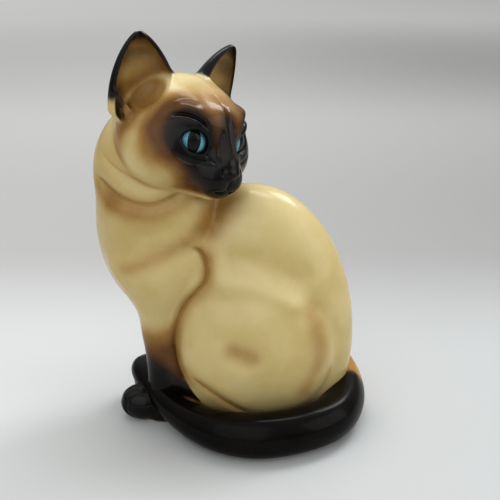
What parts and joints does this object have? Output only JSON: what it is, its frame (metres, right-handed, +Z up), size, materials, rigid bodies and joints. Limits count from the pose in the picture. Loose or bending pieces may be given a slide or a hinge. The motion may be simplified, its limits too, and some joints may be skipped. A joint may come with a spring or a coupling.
{
  "type": "ceramic cat figurine",
  "caption": "Glazed hollow figurine of a seated cat that looks over its shoulder, cream with dark face, ears, legs and a tail curled round its feet.",
  "frame": {"origin": "under the middle of the figurine's box, on the table", "axes": "+Z up, -X the way the cat's chest faces, +X towards its rump, -Y the cat's left flank, towards which the head is turned"},
  "size_m": [0.1752, 0.127, 0.25],
  "materials": {
    "cream_glaze": "gloss",
    "face_glaze": "gloss",
    "ear_glaze": "gloss",
    "leg_glaze": "gloss",
    "black_glaze": "gloss",
    "eye_enamel": "polished",
    "bare_clay": "matte"
  },
  "bodies": {
    "root": {"body_shell": "cream_glaze", "head_shell": "face_glaze", "left_ear": "ear_glaze", "right_ear": "ear_glaze", "left_foreleg": "leg_glaze", "right_foreleg": "leg_glaze", "left_hind_foot": "leg_glaze", "right_hind_foot": "leg_glaze", "tail": "black_glaze", "left_eye": "eye_enamel", "right_eye": "eye_enamel", "base_plate": "bare_clay"}
  },
  "joints": []
}
